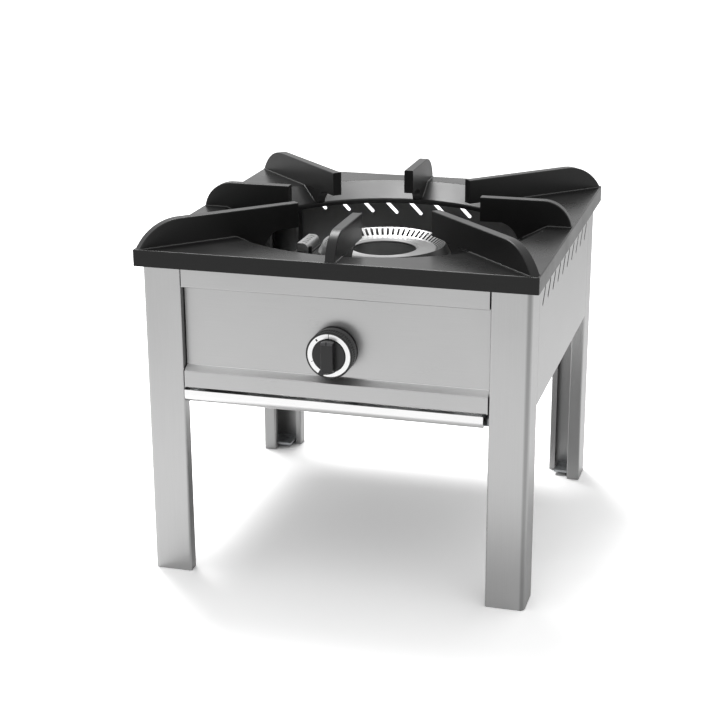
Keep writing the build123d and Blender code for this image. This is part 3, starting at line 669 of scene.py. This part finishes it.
# Scale: silver ring in runs between marks. The last run swells from a thin line at the low
# setting.
scaleRing = {
    "innerR": 25.3, "outerR": 32.0, "proud": 0.06, "stepDegrees": 3.0,
    # degrees from and to, and what is stamped of the width, 0 inner edge to 1 outer edge
    "runs": [
        (1.0, 37.2, 0.0, 1.0), (37.2, 42.2, 0.0, 0.2), (37.2, 42.2, 0.72, 1.0),
        (42.2, 111.8, 0.0, 1.0), (111.8, 113.4, 0.5, 1.0), (113.4, 149.0, 0.0, 1.0),
        (165.0, 359.4, 0.0, 1.0),
    ],
    "swellFrom": 165.0, "swellUntil": 205.0, "swellFromR": 30.4,
}
bm = bmesh.new()
for first, last, low, high in scaleRing["runs"]:
    steps = max(2, int((last - first) / scaleRing["stepDegrees"]))
    width = scaleRing["outerR"] - scaleRing["innerR"]
    outer = scaleRing["innerR"] + high * width
    previous = None
    for i in range(steps + 1):
        degrees = first + (last - first) * i / steps
        inner = scaleRing["innerR"] + low * width
        if scaleRing["swellFrom"] <= first and degrees < scaleRing["swellUntil"]:
            share = (degrees - first) / (scaleRing["swellUntil"] - first)
            inner = scaleRing["swellFromR"] + (inner - scaleRing["swellFromR"]) * share
        proud = scaleRing["proud"]
        section = [
            bm.verts.new(bezelPoint(r, math.radians(degrees), bezel["depth"] + d))
            for r, d in ((inner, 0.0), (inner, proud), (outer, proud), (outer, 0.0))
        ]
        if previous:
            for k in range(4):
                after = (k + 1) % 4
                bm.faces.new((previous[k], section[k], section[after], previous[after]))
        else:
            bm.faces.new(section)
        previous = section
    bm.faces.new(list(reversed(previous)))
newPiece("knobScaleRing", bm, "silverFoil", "base", bezel["sharpFrom"])
print("bezel fluted and its scale stamped")


def seenInMetal(tree, rays):
    # 1 for what the eye sees by reflection, 0 for light that has left a matt surface
    notBounced = addNode(
        tree, "ShaderNodeMath", {"operation": "LESS_THAN", 1: 0.5},
        {0: rays.outputs["Diffuse Depth"]},
    )
    return addNode(
        tree, "ShaderNodeMath", {"operation": "MULTIPLY"},
        {0: notBounced.outputs[0], 1: rays.outputs["Is Glossy Ray"]},
    ).outputs[0]


# Matt pale sweep. The eye and metal get it brighter than the lamp makes it, so that it runs
# out to white and keeps the range's soft shadow without more light on the range itself.
stage = {
    "floorHalf": 12.0, "bounceGrey": 0.2, "eyeGain": 1.99, "glossGain": 1.0, "glossLift": 0.13,
}
white = (1, 1, 1, 1)
floorMaterial = bpy.data.materials.new("studioFloorPale")
floorMaterial.use_nodes = True
tree = floorMaterial.node_tree
tree.nodes.clear()
rays = addNode(tree, "ShaderNodeLightPath")
mirrored = seenInMetal(tree, rays)
forMetal = addNode(
    tree, "ShaderNodeMapRange", {"To Min": stage["bounceGrey"], "To Max": stage["glossGain"]},
    {"Value": mirrored},
)
paint = addNode(
    tree, "ShaderNodeMapRange", {"To Max": stage["eyeGain"]},
    {"Value": rays.outputs["Is Camera Ray"], "To Min": forMetal.outputs[0]},
)
matt = addNode(tree, "ShaderNodeBsdfDiffuse", links={"Color": paint.outputs[0]})
lift = addNode(
    tree, "ShaderNodeMath", {"operation": "MULTIPLY", 1: stage["glossLift"]}, {0: mirrored},
)
glow = addNode(tree, "ShaderNodeEmission", {"Color": white}, {"Strength": lift.outputs[0]})
lifted = addNode(tree, "ShaderNodeAddShader", links={0: matt.outputs[0], 1: glow.outputs[0]})
addNode(tree, "ShaderNodeOutputMaterial", links={"Surface": lifted.outputs[0]})
bm = bmesh.new()
bmesh.ops.create_grid(bm, x_segments=1, y_segments=1, size=stage["floorHalf"])
floorMesh = bpy.data.meshes.new("studioFloor")
bm.to_mesh(floorMesh)
bm.free()
floorMesh.materials.append(floorMaterial)
floor = bpy.data.objects.new("studioFloor", floorMesh)
bpy.context.scene.collection.objects.link(floor)

# The world is white to the eye and to metal, and dimmer as fill light, most of it from
# above: fillTop is the upward part of a direction from which the fill is full
sky = {"fillLow": 0.25, "fillHigh": 0.66, "fillTop": 0.8}
world = bpy.data.worlds.new("studioWorld")
bpy.context.scene.world = world
world.use_nodes = True
tree = world.node_tree
tree.nodes.clear()
rays = addNode(tree, "ShaderNodeLightPath")
seen = seenInMetal(tree, rays)
for kindOfRay in ("Is Camera Ray", "Is Transmission Ray"):
    seen = addNode(
        tree, "ShaderNodeMath", {"operation": "MAXIMUM"}, {0: seen, 1: rays.outputs[kindOfRay]},
    ).outputs[0]
direction = addNode(tree, "ShaderNodeTexCoord")
upward = addNode(tree, "ShaderNodeSeparateXYZ", links={0: direction.outputs["Generated"]})
fill = addNode(
    tree, "ShaderNodeMapRange",
    {"From Max": sky["fillTop"], "To Min": sky["fillLow"], "To Max": sky["fillHigh"]},
    {"Value": upward.outputs["Z"]},
)
strength = addNode(
    tree, "ShaderNodeMapRange", links={"Value": seen, "To Min": fill.outputs[0]},
)
glow = addNode(
    tree, "ShaderNodeBackground", {"Color": white}, {"Strength": strength.outputs[0]},
)
addNode(tree, "ShaderNodeOutputWorld", links={"Surface": glow.outputs[0]})

# One large soft lamp overhead, a little behind the range and to its left
overheadSoftbox = {
    "place": (-0.6, 0.85, 2.5), "aim": (0.0, 0.0, 0.4), "size": (1.3, 0.9), "watts": 54.0,
}
light = bpy.data.lights.new("overheadSoftbox", "AREA")
light.shape = "RECTANGLE"
light.size, light.size_y = overheadSoftbox["size"]
light.energy = overheadSoftbox["watts"]
lamp = bpy.data.objects.new("overheadSoftbox", light)
lamp.location = overheadSoftbox["place"]
towards = Vector(overheadSoftbox["aim"]) - lamp.location
lamp.rotation_euler = towards.to_track_quat("-Z", "Y").to_euler()
bpy.context.scene.collection.objects.link(lamp)

# Camera in degrees, metres and, for lens and sensor, millimetres
view = {
    "azimuth": 15.943, "elevation": 18.406, "roll": -0.29, "distance": 2.723401,
    "target": (-0.040923, 0.0, 0.267259), "lens": 83.73935, "sensor": 36.0,
}
cameraData = bpy.data.cameras.new("studioCamera")
cameraData.lens, cameraData.sensor_width = view["lens"], view["sensor"]
cameraData.sensor_fit = "HORIZONTAL"
camera = bpy.data.objects.new("studioCamera", cameraData)
bpy.context.scene.collection.objects.link(camera)
azimuth, elevation = math.radians(view["azimuth"]), math.radians(view["elevation"])
back = Vector((
    math.sin(azimuth) * math.cos(elevation), -math.cos(azimuth) * math.cos(elevation),
    math.sin(elevation),
))
place = Matrix.Translation(Vector(view["target"]) + back * view["distance"])
level = (-back).to_track_quat("-Z", "Y").to_matrix().to_4x4()
camera.matrix_world = place @ level @ Matrix.Rotation(math.radians(view["roll"]), 4, "Z")
bpy.context.scene.camera = camera
bpy.context.scene.view_settings.view_transform = "Standard"
print("floor, lamp and camera set")
